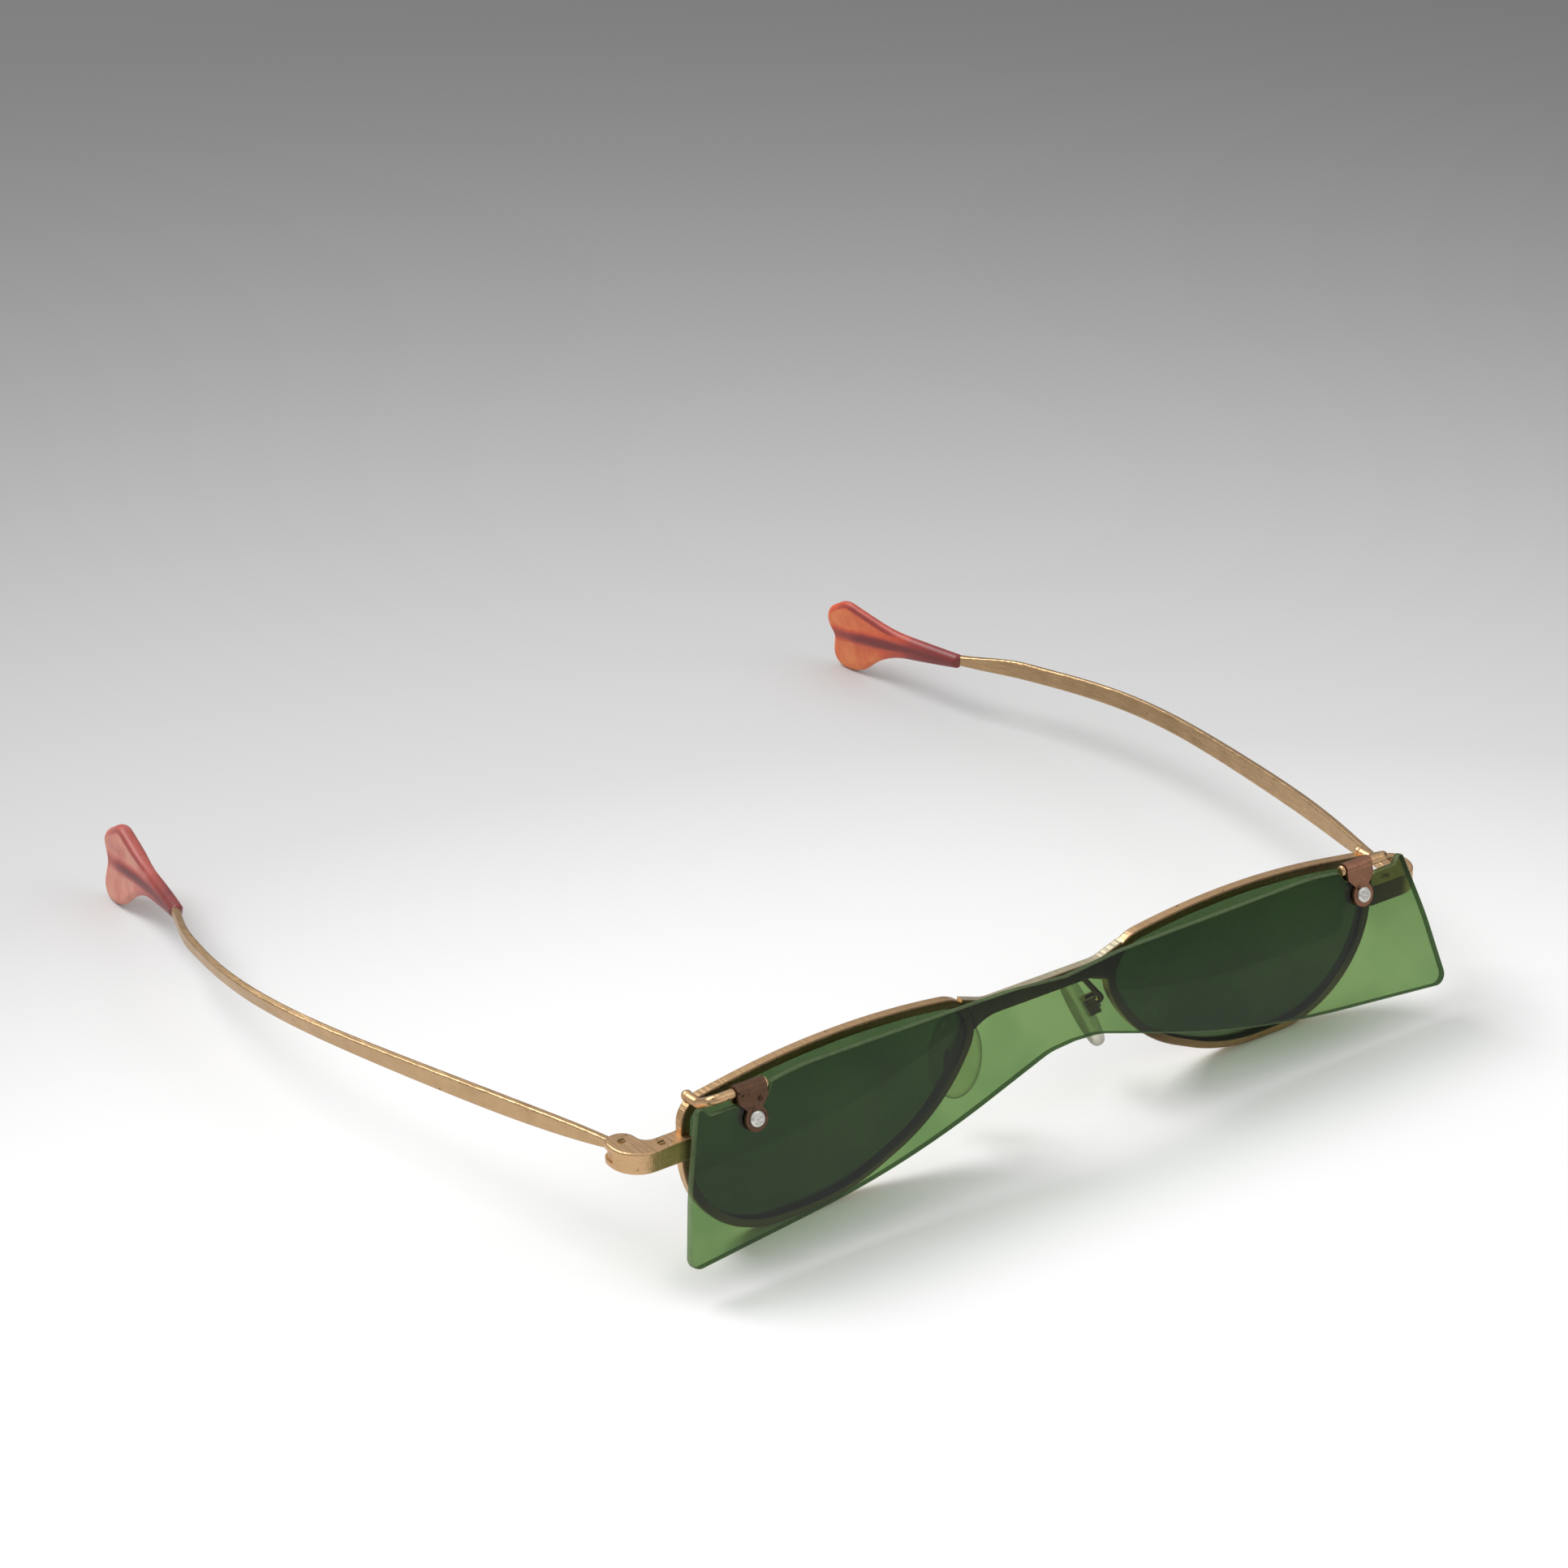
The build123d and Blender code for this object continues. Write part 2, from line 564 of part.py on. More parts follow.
def pad_plane(lean_degrees):
    """Plane of a pad: x along its width to the rear, y up it, z away from the nose."""
    splay = radians(PAD_SPLAY)
    lean = radians(lean_degrees)
    return Plane(
        origin=(PAD_OUT, rims_y + PAD_BACK, PAD_UP),
        x_dir=(sin(splay), cos(splay), 0),
        z_dir=(cos(splay) * cos(lean), -sin(splay) * cos(lean), sin(lean)),
    )


def make_pad(plane):
    """Clear oval cushion with round edges."""
    with BuildPart() as pad:
        with BuildSketch(plane):
            Ellipse(PAD_WIDTH / 2, PAD_LENGTH / 2)
        extrude(amount=PAD_THICKNESS / 2, both=True)
        fillet(pad.edges(), radius=PAD_EDGE_R)
    return pad


def make_box(plane):
    """Floor and two cheeks on the pad's back, pierced for the arm's cross pin."""
    gap = 2 * (ARM_WIRE_R + ARM_SIDE_PLAY)
    back = plane.offset(PAD_THICKNESS / 2)
    with BuildPart() as box:
        with BuildSketch(back):
            Rectangle(gap + 2 * BOX_CHEEK, BOX_LENGTH)
        extrude(amount=BOX_HEIGHT)
        with BuildSketch(back.offset(BOX_FLOOR)):
            Rectangle(gap, 2 * BOX_LENGTH)
        extrude(amount=BOX_HEIGHT, mode=Mode.SUBTRACT)
        with BuildSketch(Plane(origin=back.offset(BOX_PIN_HEIGHT).origin, z_dir=plane.x_dir)):
            Circle(ARM_WIRE_R + ARM_PLAY)
        extrude(amount=BOX_LENGTH, both=True, mode=Mode.SUBTRACT)
    return box


def make_arm(plane):
    """Bent wire from the rim's back to a cross pin between the cheeks of the box."""
    pin_height = PAD_THICKNESS / 2 + BOX_PIN_HEIGHT
    pin_at = plane.from_local_coords((0, 0, pin_height))
    leg_end = plane.from_local_coords((0, 0, pin_height + ARM_LEG))
    elbow = plane.from_local_coords((-ARM_ELBOW_AHEAD, ARM_ELBOW_UP, ARM_ELBOW_OFF))
    root = Vector(ARM_ROOT_OUT, rims_y, ARM_ROOT_UP)
    with BuildPart() as arm:
        with BuildLine() as path:
            FilletPolyline(root, elbow, leg_end, pin_at, radius=[ARM_BEND_R, ARM_BEND_R])
        with BuildSketch(Plane(origin=path.line @ 0, z_dir=path.line % 0)):
            Circle(ARM_WIRE_R)
        sweep()
        with BuildSketch(Plane(origin=pin_at, z_dir=plane.x_dir)):
            Circle(ARM_WIRE_R)
        extrude(amount=ARM_WIRE_R + ARM_SIDE_PLAY + BOX_CHEEK, both=True)
        add(rim_plate(0, RIM_DEPTH), mode=Mode.SUBTRACT)
    return arm


def mirrored(piece):
    """The same piece for the other side."""
    with BuildPart() as other:
        add(piece.part)
        mirror(about=Plane.YZ, mode=Mode.REPLACE)
    return other


def write(piece, name):
    """Name a finished piece and write it."""
    piece.part.label = name
    export_step(piece.part, f"parts/{name}.step")


temple = make_temple()
pairs = {
    "rim": make_rim(),
    "lens": make_lens(),
    "endpiece_upper": make_endpiece(END_MIDDLE, end_top),
    "endpiece_lower": make_endpiece(END_MIDDLE, end_bottom),
    "closing_screw": make_screw(closing_x, closing_y, CLOSING_SCREW_R),
    "hinge_screw": make_screw(hinge_x, hinge_y, HINGE_SCREW_R),
    "temple": temple,
    "temple_tip": make_tip(temple.part),
    "shield_hook": make_hook(),
    "clip": make_clip(),
    "clip_rivet": make_rivet(),
}
for name, piece in pairs.items():
    write(piece, f"left_{name}")
    write(mirrored(piece), f"right_{name}")

left_pad = pad_plane(PAD_LEAN_LEFT)
right_pad = pad_plane(PAD_LEAN_RIGHT)
for name, make in (("nose_pad", make_pad), ("pad_box", make_box), ("pad_arm", make_arm)):
    write(make(left_pad), f"left_{name}")
    write(mirrored(make(right_pad)), f"right_{name}")

write(make_bridge(), "bridge")
write(make_shield(), "flip_shield")

print("rims_y", rims_y, "hinge", (hinge_x, hinge_y, END_MIDDLE), "pin", (pin_y, pin_z))
for name, plane in (("left", left_pad), ("right", right_pad)):
    pin_at = plane.from_local_coords((0, 0, PAD_THICKNESS / 2 + BOX_PIN_HEIGHT))
    print(name, "pad pin", tuple(pin_at), "axis", tuple(plane.x_dir))
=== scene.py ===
import bmesh
import bpy
import numpy as np
from bpy.props import FloatProperty, FloatVectorProperty, PointerProperty
from bpy.types import Operator, Panel, PropertyGroup
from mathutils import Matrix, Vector


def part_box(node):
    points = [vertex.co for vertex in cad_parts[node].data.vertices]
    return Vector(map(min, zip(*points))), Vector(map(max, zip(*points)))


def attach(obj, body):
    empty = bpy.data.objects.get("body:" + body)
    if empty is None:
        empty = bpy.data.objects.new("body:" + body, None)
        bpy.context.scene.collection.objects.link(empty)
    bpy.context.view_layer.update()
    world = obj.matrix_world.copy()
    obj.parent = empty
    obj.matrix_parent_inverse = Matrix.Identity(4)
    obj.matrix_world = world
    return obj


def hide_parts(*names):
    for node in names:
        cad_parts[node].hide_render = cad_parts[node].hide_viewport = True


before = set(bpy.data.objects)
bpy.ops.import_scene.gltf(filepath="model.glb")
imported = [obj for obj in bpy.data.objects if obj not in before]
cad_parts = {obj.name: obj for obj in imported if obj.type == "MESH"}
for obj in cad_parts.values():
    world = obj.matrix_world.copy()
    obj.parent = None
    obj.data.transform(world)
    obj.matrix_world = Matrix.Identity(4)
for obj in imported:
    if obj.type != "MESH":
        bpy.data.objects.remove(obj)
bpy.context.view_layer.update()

bl_info = {
    "name": "Flip-up sunglasses",
    "version": (1, 0, 0),
    "blender": (4, 5, 0),
    "location": "View3D > Sidebar > Sunglasses",
    "description": "Dresses the packed flip-up sunglasses and sets them on a pale table",
    "category": "Object",
}

MM = 0.001
SIDES = {"left": 1.0, "right": -1.0}
RIMS_Y = sum(corner.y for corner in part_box("left_rim")) / 2


# ---- nodes and colours ----


def linear(code):
    """sRGB hex code to linear RGBA."""
    srgb = np.array([int(code[i : i + 2], 16) for i in (0, 2, 4)]) / 255
    low = srgb / 12.92
    high = ((srgb + 0.055) / 1.055) ** 2.4
    return (*np.where(srgb <= 0.04045, low, high).tolist(), 1.0)


def add_node(tree, kind, sockets=None, stops=None, **settings):
    """Adds a node. Settings are its own properties, sockets its inputs: a value, or the
    output that feeds it. Stops are a colour ramp's positions and linear colours."""
    node = tree.nodes.new("ShaderNode" + kind)
    for name, value in settings.items():
        setattr(node, name, value)
    for name, value in (sockets or {}).items():
        if isinstance(value, bpy.types.NodeSocket):
            tree.links.new(value, node.inputs[name])
        else:
            node.inputs[name].default_value = value
    if stops:
        ramp = node.color_ramp.elements
        while len(ramp) < len(stops):
            ramp.new(1.0)
        for element, (position, colour) in zip(ramp, stops):
            element.position = position
            element.color = colour
    return node


def new_material(name):
    """An empty material: its node tree and the socket that its surface goes into."""
    material = bpy.data.materials.new(name)
    material.use_nodes = True
    tree = material.node_tree
    tree.nodes.clear()
    output = add_node(tree, "OutputMaterial")
    return material, tree, output.inputs["Surface"]


def noise(tree, grain_mm, detail=3.0, roughness=0.55, stretch=(1, 1, 1)):
    """Noise on Object coordinates, one wave about grain_mm long, stretched by axis."""
    place = add_node(tree, "TexCoord").outputs["Object"]
    mapped = add_node(tree, "Mapping", {"Vector": place, "Scale": stretch})
    settings = {"Scale": 1.0 / (grain_mm * MM), "Detail": detail, "Roughness": roughness}
    texture = add_node(tree, "TexNoise", {"Vector": mapped.outputs["Vector"], **settings})
    return texture.outputs["Fac"]


def mix_colour(tree, factor, first, second):
    """Mixes two colours by a factor and gives the result's socket. The node's colour
    sockets are numbered, because its sockets for other data have the same names."""
    node = add_node(tree, "Mix", {0: factor, 6: first, 7: second}, data_type="RGBA")
    return node.outputs[2]


# ---- materials ----

# Painted shade behind the sheet, in metres: the fronts there are darkened for the light that
# the green sheet holds back. Each pair is where it starts and where it is full: the distance
# from the middle given first, which lies to the left because the left end is dark further
# out, the height, with the share set for the foot of it below, and the Y of a face's normal.
SHADE_MIDDLE = 0.0022
SHADE_REACH = (0.0606, 0.0592)
SHADE_HEIGHT = (0.0012, 0.007)
SHADE_AT_FOOT = 0.35
SHADE_LOOK = (-0.15, -0.7)

# Refractive indices. The old sheets' skins are worn, which mirrors a little less.
WORN_SHEET_IOR = 1.42
PLASTIC_IOR = 1.49
TORTOISE_IOR = 1.5


def shade_behind_sheet(tree):
    """Painted shade: 1 on faces that look forwards behind the sheet, darkened there for the
    light that the green sheet holds back, less towards the rims' feet, and 0 on the rest."""
    texture = add_node(tree, "TexCoord")
    look = add_node(tree, "SeparateXYZ", {"Vector": texture.outputs["Normal"]}).outputs["Y"]
    place = add_node(tree, "SeparateXYZ", {"Vector": texture.outputs["Object"]})
    across = add_node(tree, "Math", {0: place.outputs["X"], 1: SHADE_MIDDLE}, operation="SUBTRACT")
    out = add_node(tree, "Math", {0: across.outputs["Value"]}, operation="ABSOLUTE")
    share = 1.0
    for value, (low, high), least in (
        (look, SHADE_LOOK, 0.0),
        (out.outputs["Value"], SHADE_REACH, 0.0),
        (place.outputs["Z"], SHADE_HEIGHT, SHADE_AT_FOOT),
    ):
        span = {"Value": value, "From Min": low, "From Max": high, "To Min": least}
        part = add_node(tree, "MapRange", span).outputs["Result"]
        share = add_node(tree, "Math", {0: share, 1: part}, operation="MULTIPLY").outputs["Value"]
    return share


def worn_metal(name, bright, dull, spot, roughness, spots_over=0.62, sheet_shade=None):
    """A soft old metal: cloudy colour, dark specks of tarnish where their noise is over
    spots_over, and fine scratches in its roughness and bump. A colour given for the sheet's
    shade is painted shade on the fronts behind the sheet. Clouds are as wide as a fingertip's
    rubbing on a wire, 3.5 mm, and real scratches, under 0.1 mm, wouldn't show, so they are
    drawn 0.5 mm wide."""
    material, tree, surface = new_material(name)
    colour = mix_colour(tree, noise(tree, 3.5), dull, bright)
    specks = add_node(
        tree,
        "ValToRGB",
        {"Fac": noise(tree, 1.3, detail=5.0, roughness=0.7)},
        stops=((spots_over, linear("000000")), (spots_over + 0.1, linear("FFFFFF"))),
    )
    colour = mix_colour(tree, specks.outputs["Color"], colour, spot)
    # Painted shade on the fronts behind the sheet, for the light that the green sheet holds back.
    if sheet_shade:
        colour = mix_colour(tree, shade_behind_sheet(tree), colour, sheet_shade)
    scratches = noise(tree, 0.5, detail=4.0, stretch=(1.0, 0.12, 1.0))
    limits = {"To Min": roughness - 0.1, "To Max": roughness + 0.12}
    rough = add_node(tree, "MapRange", {"Value": scratches, **limits})
    bump = add_node(tree, "Bump", {"Height": scratches, "Strength": 0.35, "Distance": 0.0004})
    metal = add_node(
        tree,
        "BsdfPrincipled",
        {
            "Base Color": colour,
            "Metallic": 1.0,
            "Roughness": rough.outputs["Result"],
            "Normal": bump.outputs["Normal"],
        },
    )
    tree.links.new(metal.outputs["BSDF"], surface)
    return material


def see_through(tree, surface, colour, wear, roughness, ior):
    """Feeds a surface that light passes straight through, tinted by colour, and that
    mirrors by Fresnel on its outer faces. Wear, from 0 to 1, runs through roughness."""
    through = add_node(tree, "BsdfTransparent", {"Color": colour})
    limits = {"To Min": roughness[0], "To Max": roughness[1]}
    rough = add_node(tree, "MapRange", {"Value": wear, **limits})
    mirror = add_node(tree, "BsdfGlossy", {"Roughness": rough.outputs["Result"]})
    inside = add_node(tree, "NewGeometry").outputs["Backfacing"]
    facing = add_node(tree, "Fresnel", {"IOR": ior}).outputs["Fac"]
    shine = add_node(tree, "MapRange", {"Value": inside, "To Min": facing, "To Max": 0.0})
    sheet = add_node(
        tree,
        "MixShader",
        {0: shine.outputs["Result"], 1: through.outputs["BSDF"], 2: mirror.outputs["BSDF"]},
    )
    tree.links.new(sheet.outputs["Shader"], surface)


def tinted_sheet(name, tint, cloudy):
    """A polished, tinted sheet: even colour with soft clouds of age about 12 mm wide, and
    a mirror dulled by wiping. The tint is all on the faces where light enters, so its
    colour is what a white ground looks like through the sheet."""
    material, tree, surface = new_material(name)
    clouds = {"Value": noise(tree, 12.0, detail=2.0), "From Min": 0.35, "From Max": 0.65}
    patches = add_node(tree, "MapRange", clouds).outputs["Result"]
    colour = mix_colour(tree, patches, tint, cloudy)
    inside = add_node(tree, "NewGeometry").outputs["Backfacing"]
    colour = mix_colour(tree, inside, colour, linear("FFFFFF"))
    see_through(tree, surface, colour, noise(tree, 0.8, detail=5.0), (0.03, 0.12), WORN_SHEET_IOR)
    return material


def cut_celluloid(name, pale, dark):
    """The sheet's sawn edge: light that runs along inside the sheet leaves it here, so it
    looks fuller and darker than the faces, with file marks about 0.6 mm apart across it."""
    material, tree, surface = new_material(name)
    colour = mix_colour(tree, noise(tree, 0.6, detail=4.0, stretch=(1.0, 0.3, 0.3)), dark, pale)
    body = add_node(tree, "BsdfPrincipled", {"Base Color": colour, "Roughness": 0.35})
    through = add_node(tree, "BsdfTransparent", {"Color": linear("8FAE7A")})
    shares = {0: 0.55, 1: through.outputs["BSDF"], 2: body.outputs["BSDF"]}
    edge = add_node(tree, "MixShader", shares)
    tree.links.new(edge.outputs["Shader"], surface)
    return material


def pad_plastic(name, tint):
    """Clear moulded pad plastic: seen face on it hardly shows, and its rim, where one
    looks along the wall, is painted grey, a painted shade for the light the wall bends away,
    and mirrors. Skin has hazed it in 1.5 mm patches."""
    material, tree, surface = new_material(name)
    # Painted shade: grey where one looks along the wall.
    edge = add_node(tree, "LayerWeight", {"Blend": 0.38}).outputs["Facing"]
    colour = mix_colour(tree, edge, tint, linear("85866F"))
    see_through(tree, surface, colour, noise(tree, 1.5), (0.05, 0.2), PLASTIC_IOR)
    return material


def tortoise(name, pale, lobe, core):
    """Translucent tortoise plastic, moulded and tumbled to a satin skin: it glows where
    thin, with 3 mm clouds, and turns dark red where the attribute core is high, over the
    metal core, in the neck, and along the top edge, where the darkening is painted shade."""
    material, tree, surface = new_material(name)
    near = add_node(tree, "Attribute", attribute_name="core").outputs["Fac"]
    cloud = {0: noise(tree, 3.0, detail=4.0), 1: 0.5, 2: near}
    shade = add_node(tree, "Math", cloud, operation="MULTIPLY_ADD").outputs["Value"]
    share = add_node(tree, "MapRange", {"Value": shade, "From Max": 1.4}).outputs["Result"]
    stops = ((0.12, pale), (0.26, lobe), (0.58, linear("983F38")), (0.86, core))
    ramp = add_node(tree, "ValToRGB", {"Fac": share}, stops=stops)
    plastic = add_node(
        tree,
        "BsdfPrincipled",
        {
            "Base Color": ramp.outputs["Color"],
            "Roughness": 0.42,
            "IOR": TORTOISE_IOR,
            "Subsurface Weight": 0.35,
            "Subsurface Radius": (1.0, 0.35, 0.15),
            "Subsurface Scale": 0.002,
        },
    )
    tree.links.new(plastic.outputs["BSDF"], surface)
    return material


def dress(material, *nodes):
    """Gives CAD nodes a material."""
    for name in nodes:
        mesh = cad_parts[name].data
        mesh.materials.clear()
        mesh.materials.append(material)


def both(*names):
    """The left and the right node of each name."""
    return [f"{side}_{name}" for side in SIDES for name in names]


# ---- shapes, in mm ----

HINGE_OUT = 63.6                # temple hinge from the mirror plane
HINGE_Y = RIMS_Y / MM + 2.75    # behind the rims' middle plane
PIN_Y = RIMS_Y / MM - 4.85      # shield's hinge pin, before that plane
PIN_UP = 24.0
SHIELD_TILT = np.radians(15.0)  # foot forward of the pin
ARC_STEPS = 13                  # points on each rounded corner
EDGE_STEPS = 5                  # points on each quarter turn of the shield's edge
TIP_GRID = (49, 141)            # rows and columns of a tip's surface

# Corners of a tip's paddle before rounding: back from the hinge, up, and radius.
TIP_CORNERS = np.array([
    (99.1, 9.9, 0.6),
    (111.8, 10.0, 23.5),
    (121.5, 12.2, 3.3),
    (127.6, 8.5, 2.9),
    (124.75, 5.45, 0.9),
    (125.9, 0.0, 2.4),
    (120.0, 0.0, 7.5),
    (113.65, 5.4, 16.0),
    (99.5, 7.75, 0.6),
])
# The corners, by number, whose arcs' middles part the outline in mouth, top, rear and bottom.
TIP_PARTINGS = (0, 2, 5, 8)
# The line that the temple's core follows inside the tip: back from the hinge, and up.
TIP_CORE = np.array([(99.0, 8.85), (107.3, 8.3), (113.3, 7.5), (118.0, 6.8), (126.0, 5.6)])
# Three points of the arc that the tip bends along, seen from above: back, and out.
TIP_ARC = np.array([(96.3, 5.65), (111.8, 2.2), (127.94, 0.05)])
TIP_LEAN = np.tan(np.radians(7.5))
TIP_LEVEL = 5.0                 # height at which the arc is given
# How many times as thick as its leaf each tip is along its top edge.
TIP_TOP = {"left": 1.0, "right": 1.55}

# A tip's section. Pairs are where a change starts and ends: stations back from the
# hinge, or heights over the core's line.
NECK_TO_LEAF = (105.0, 116.0)
NECK_HALF, NECK_EDGE_R = 0.98, 1.2
LEAF_EDGE_R = 0.75
RIDGE_HALF, RIDGE_WIDTH = 0.95, 1.1
RIDGE_END = (119.0, 126.0)
TOP_RISE = (0.8, 3.2)

# Where a tip is dark: a stripe over the core, half widths and stations; painted shade along
# the corner of the top edge, depths from the outline, heights and stations; and the neck.
STRIPE_WIDTH = (0.1, 1.35)
STRIPE_END, STRIPE_FADE = (117.0, 125.5), 0.6
EDGE_SHADE_DEPTH, EDGE_SHADE_OUTER_SHARE = (0.35, 1.0), 0.45
EDGE_SHADE_LINE, EDGE_SHADE_LINE_WIDTH, EDGE_SHADE_LINE_SHARE = 0.75, 0.25, 0.5
EDGE_SHADE_RISE, EDGE_SHADE_END = (1.0, 2.2), (119.0, 126.5)
NECK_END, NECK_SHARE = (103.0, 116.5), 0.85

# Corners of the shield's left half before rounding, from its middle round to its middle:
# out, up from the pin, and radius.
SHIELD_CORNERS = np.array([
    (0.0, -0.45, 0.0),
    (9.0, 0.35, 30.0),
    (42.0, 0.65, 45.0),
    (46.6, 0.05, 0.5),
    (47.55, -1.5, 0.5),
    (56.2, -1.5, 0.6),
    (57.7, 0.2, 0.6),
    (60.6, -9.6, 60.0),
    (62.8, -20.1, 1.5),
    (29.0, -16.9, 150.0),
    (4.1, -9.4, 10.4),
    (0.0, -9.15, 0.0),
])


def rounded(corners):
    """Outline through corners (across, up, radius), each replaced by the tangent arc of
    its radius: t = r tan(turn / 2) back along both edges, and ARC_STEPS points turned
    evenly about the arc's centre. Closed; the k-th corner's arc is rows k * ARC_STEPS on."""
    points, radius = corners[:, :2], corners[:, 2:]
    before = np.roll(points, 1, 0) - points
    after = np.roll(points, -1, 0) - points
    before /= np.linalg.norm(before, axis=1, keepdims=True)
    after /= np.linalg.norm(after, axis=1, keepdims=True)
    half = np.arccos(np.clip((before * after).sum(1, keepdims=True), -1, 1)) / 2
    bisector = before + after
    bisector /= np.maximum(np.linalg.norm(bisector, axis=1, keepdims=True), 1e-9)
    centre = points + bisector * radius / np.sin(half)
    start = points + before * radius / np.tan(half) - centre
    cross = before[:, 1:] * after[:, :1] - before[:, :1] * after[:, 1:]
    angle = np.sign(cross) * (np.pi - 2 * half) * np.linspace(0, 1, ARC_STEPS)
    cos, sin = np.cos(angle)[..., None], np.sin(angle)[..., None]
    sideways = np.stack([-start[:, 1], start[:, 0]], 1)[:, None]
    arcs = centre[:, None] + start[:, None] * cos + sideways * sin
    return arcs.reshape(-1, 2)


def clustered(count):
    """Shares from 0 to 1, closest together at both ends: (1 - cos) / 2."""
    return (1 - np.cos(np.linspace(0, np.pi, count))) / 2


def resampled(line, count):
    """count points along an open line, clustered at its ends."""
    steps = np.linalg.norm(np.diff(line, axis=0), axis=1)
    length = np.concatenate([[0], np.cumsum(steps)])
    at = clustered(count) * length[-1]
    return np.stack([np.interp(at, length, values) for values in line.T], 1)


def distance_to(outline, points):
    """Least distance from each point to a closed outline's segments."""
    start, step = outline, np.roll(outline, -1, 0) - outline
    away = points[:, None] - start[None]
    along = (away * step).sum(2) / np.maximum((step**2).sum(1), 1e-12)
    nearest = away - np.clip(along, 0, 1)[..., None] * step
    return np.sqrt((nearest**2).sum(2)).min(1)


def patch(left, right, bottom, top):
    """Coons patch of four boundary lines: the two ruled sheets added, less the bilinear
    sheet of the corners. Rows run from bottom to top, columns from left to right."""
    u = clustered(len(bottom))[None, :, None]
    v = clustered(len(left))[:, None, None]
    ruled = (1 - v) * bottom[None] + v * top[None] + (1 - u) * left[:, None] + u * right[:, None]
    lower = (1 - u) * bottom[0] + u * bottom[-1]
    upper = (1 - u) * top[0] + u * top[-1]
    return ruled - (1 - v) * lower - v * upper


def grid_faces(rows, columns, offset=0):
    """Quads of a grid of rows by columns vertices, numbered from offset."""
    first = (np.arange(rows - 1)[:, None] * columns + np.arange(columns - 1)).ravel() + offset
    return np.stack([first, first + 1, first + columns + 1, first + columns], 1)


def smoothstep(low, high, value):
    """0 below low, 1 above high, and 3t^2 - 2t^3 between."""
    t = np.clip((value - low) / (high - low), 0, 1)
    return t * t * (3 - 2 * t)


def circle_through(points):
    """Centre and radius of the circle through three points."""
    a, b, c = points
    sides = 2 * np.array([b - a, c - a])
    centre = np.linalg.solve(sides, [b @ b - a @ a, c @ c - a @ a])
    return centre, np.linalg.norm(a - centre)


def new_piece(name, points, faces, body, materials):
    """A mesh object from points in mm and faces, merged, facing outwards, and riding."""
    mesh = bpy.data.meshes.new(name)
    mesh.from_pydata((points * MM).tolist(), [], [face.tolist() for face in faces])
    mesh.polygons.foreach_set("use_smooth", np.full(len(mesh.polygons), True))
    for material in materials:
        mesh.materials.append(material)
    joined = bmesh.new()
    joined.from_mesh(mesh)
    bmesh.ops.remove_doubles(joined, verts=joined.verts, dist=2e-7)
    bmesh.ops.recalc_face_normals(joined, faces=joined.faces)
    joined.to_mesh(mesh)
    joined.free()
    piece = bpy.data.objects.new(name, mesh)
    bpy.context.scene.collection.objects.link(piece)
    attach(piece, body)
    return piece


def over_core(back, up):
    """Height over the line of the temple's core."""
    return up - np.interp(back, TIP_CORE[:, 0], TIP_CORE[:, 1])


def tip_swell(side, leaf, back, up, inward):
    """Half a tip's thickness, h sqrt(1 - (1 - d / r)^2) at d inwards of the outline. The
    section is round in the neck, where h and r are large, and a thin leaf with a ridge
    over the metal core in the lobes."""
    neck = 1 - smoothstep(*NECK_TO_LEAF, back)
    above = over_core(back, up)
    ridge = np.exp(-((above / RIDGE_WIDTH) ** 2)) * (1 - smoothstep(*RIDGE_END, back))
    thin = leaf / 2 * (1 + (TIP_TOP[side] - 1) * smoothstep(*TOP_RISE, above))
    lobes = thin + np.maximum(RIDGE_HALF - thin, 0) * ridge
    half = neck * NECK_HALF + (1 - neck) * lobes
    edge = neck * NECK_EDGE_R + (1 - neck) * LEAF_EDGE_R
    swell = half * np.sqrt(np.maximum(0, 1 - (1 - np.minimum(inward / edge, 1)) ** 2))
    return np.where(inward < 1e-4, 0, swell)


def tip_bend(back):
    """How far out a tip's middle lies along its arc, seen from above, and its slope."""
    centre, radius = circle_through(TIP_ARC)
    bulge = np.sign(TIP_ARC[0, 1] - centre[1])
    out = centre[1] + bulge * np.sqrt(radius**2 - (back - centre[0]) ** 2)
    return out, -(back - centre[0]) / (out - centre[1])


def darkness(back, up, depth):
    """How dark a tip is at depth from its outline: the most of stripe, painted edge shade and
    neck.
    """
    above = over_core(back, up)
    stripe = 1 - smoothstep(*STRIPE_WIDTH, np.abs(above))
    stripe *= 1 - STRIPE_FADE * smoothstep(*STRIPE_END, back)
    # Painted shade along the corner of the top edge, where the faces turn from the light.
    edge_shade = EDGE_SHADE_OUTER_SHARE * (1 - smoothstep(*EDGE_SHADE_DEPTH, depth))
    edge_shade += EDGE_SHADE_LINE_SHARE * np.exp(-(((depth - EDGE_SHADE_LINE) / EDGE_SHADE_LINE_WIDTH) ** 2))
    edge_shade *= smoothstep(*EDGE_SHADE_RISE, above) * (1 - smoothstep(*EDGE_SHADE_END, back))
    neck = NECK_SHARE * (1 - smoothstep(*NECK_END, back))
    return np.maximum.reduce([stripe, edge_shade, neck])


